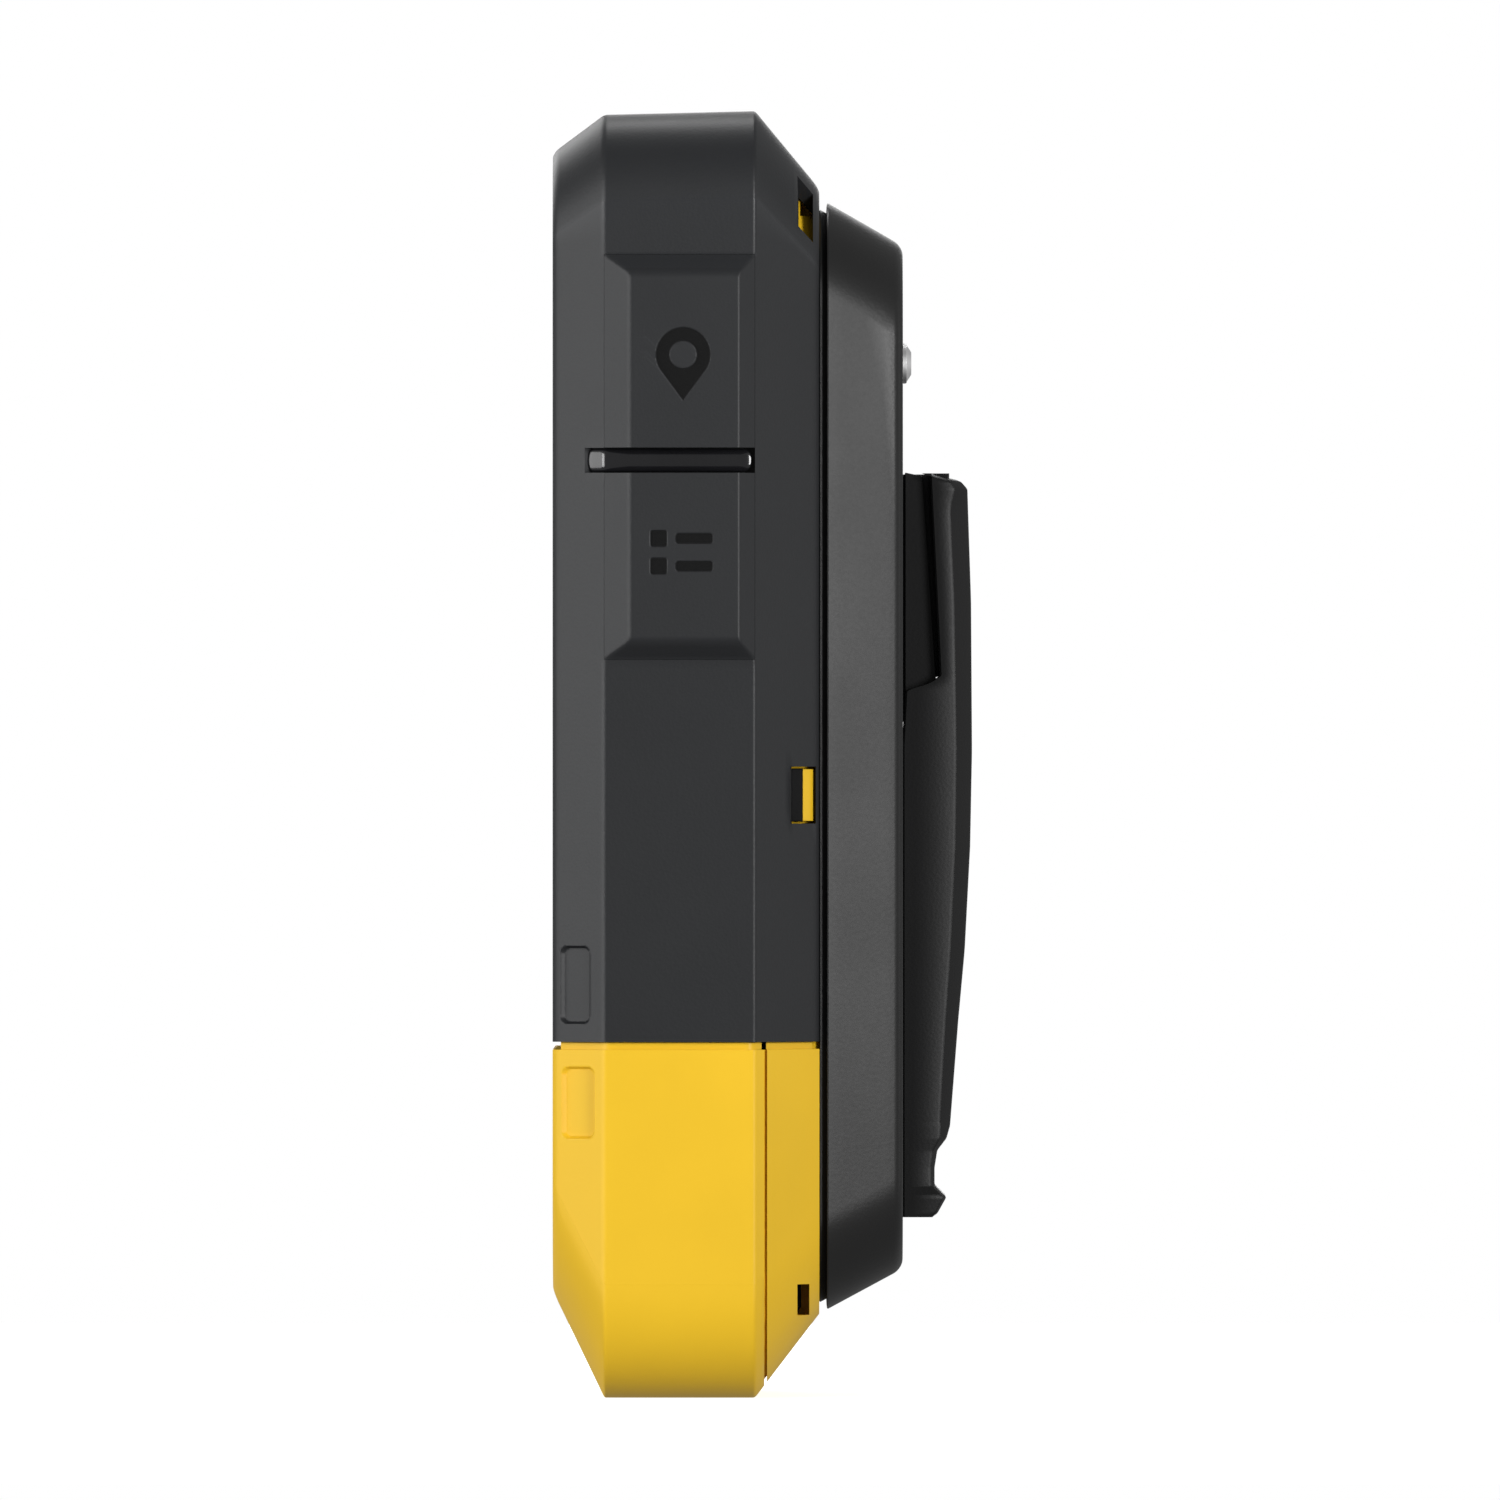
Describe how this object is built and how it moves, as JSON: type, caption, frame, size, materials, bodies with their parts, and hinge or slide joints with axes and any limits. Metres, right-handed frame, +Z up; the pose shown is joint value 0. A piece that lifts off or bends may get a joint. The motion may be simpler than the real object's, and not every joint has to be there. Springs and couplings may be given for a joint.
{
  "type": "handheld gps unit",
  "caption": "Rugged handheld navigation receiver: touch display, yellow housing with grey sleeve, side keys, back battery cover and belt clip",
  "frame": {"origin": "centre of the bounding box's underside: the middle of the unit's width and depth, on the surface it stands on", "axes": "+Z up along the unit's height; the display faces -Y and the belt clip +Y; +X is the side with the waypoint and menu keys"},
  "size_m": [0.074, 0.0456, 0.14],
  "materials": {
    "sleeve_grey": "soft-touch dark grey, finely grained",
    "key_grey": "soft dark grey moulding, same tone as the sleeve",
    "housing_yellow": "warm yellow moulded plastic, satin",
    "cover_grey": "neutral dark grey moulded plastic",
    "black_plastic": "black moulded plastic, satin",
    "gloss_black": "dark glossy translucent bar",
    "lens_glass": "black-bordered cover glass",
    "display_glass": "liquid crystal panel",
    "rubber": "black rubber",
    "board_green": "green circuit board",
    "ceramic": "unglazed aerial ceramic",
    "bright_metal": "bright steel",
    "spring_steel": "spring steel",
    "brass": "machined brass",
    "cell_wrap": "plain blue cell wrap over a metal can"
  },
  "bodies": {
    "casing": {"armour_sleeve": "sleeve_grey", "front_housing": "housing_yellow", "rear_housing": "housing_yellow", "case_screw_1": "bright_metal", "case_screw_2": "bright_metal", "case_screw_3": "bright_metal", "case_screw_4": "bright_metal", "housing_seal": "rubber", "display_lens": "lens_glass", "lens_gasket": "rubber", "lcd_panel": "display_glass", "display_frame": "bright_metal", "key_divider": "gloss_black", "waypoint_switch": "bright_metal", "menu_switch": "bright_metal", "power_switch": "bright_metal", "zoom_out_switch": "bright_metal", "zoom_in_switch": "bright_metal", "right_key_board": "board_green", "left_key_board": "board_green", "main_board": "board_green", "processor_can": "bright_metal", "radio_can": "bright_metal", "gps_antenna": "ceramic", "speaker": "black_plastic", "usb_socket": "bright_metal", "mid_frame": "black_plastic", "battery_tray": "black_plastic", "cell_contact_plate": "bright_metal", "cell_left": "cell_wrap", "cell_middle": "cell_wrap", "cell_right": "cell_wrap", "cell_spring_left": "spring_steel", "cell_spring_middle": "spring_steel", "cell_spring_right": "spring_steel", "lock_receptacle": "brass"},
    "cover": {"battery_cover": "cover_grey", "cover_seal": "rubber", "clip_base": "black_plastic", "clip_pin": "bright_metal", "clip_spring": "spring_steel", "clip_screw_1": "bright_metal", "clip_screw_2": "bright_metal"},
    "lock": {"cover_lock": "bright_metal"},
    "clip": {"clip_lever": "black_plastic"},
    "waypoint": {"waypoint_key": "key_grey"},
    "menu": {"menu_key": "key_grey"},
    "power": {"power_key": "key_grey"},
    "port": {"port_cover": "key_grey"},
    "zoom_out": {"zoom_out_key": "key_grey"},
    "zoom_in": {"zoom_in_key": "key_grey"}
  },
  "joints": [
    {"name": "cover_slide", "type": "slide", "parent": "casing", "child": "cover", "axis": [0, 1, 0], "range_m": [0, 0.02]},
    {"name": "lock_turn", "type": "hinge", "parent": "cover", "child": "lock", "pos_m": [0, 0.01525, 0.1128], "axis": [0, 1, 0], "range_deg": [0, 90]},
    {"name": "clip_pivot", "type": "hinge", "parent": "cover", "child": "clip", "pos_m": [0, 0.01855, 0.0752], "axis": [1, 0, 0], "range_deg": [0, 5.5], "stiffness_Nm_per_rad": 0.4, "springref_deg": -28.65},
    {"name": "waypoint_press", "type": "slide", "parent": "casing", "child": "waypoint", "axis": [-1, 0, 0], "range_m": [0, 0.0005], "stiffness_N_per_m": 2500},
    {"name": "menu_press", "type": "slide", "parent": "casing", "child": "menu", "axis": [-1, 0, 0], "range_m": [0, 0.0005], "stiffness_N_per_m": 2500},
    {"name": "power_press", "type": "slide", "parent": "casing", "child": "power", "axis": [1, 0, 0], "range_m": [0, 0.0005], "stiffness_N_per_m": 2500},
    {"name": "zoom_out_press", "type": "slide", "parent": "casing", "child": "zoom_out", "axis": [0, 1, 0], "range_m": [0, 0.0005], "stiffness_N_per_m": 2500},
    {"name": "zoom_in_press", "type": "slide", "parent": "casing", "child": "zoom_in", "axis": [0, 1, 0], "range_m": [0, 0.0005], "stiffness_N_per_m": 2500},
    {"name": "port_cover_hinge", "type": "hinge", "parent": "casing", "child": "port", "pos_m": [-0.0354, -0.00105, 0.0918], "axis": [0, 0, -1], "range_deg": [0, 110]}
  ]
}
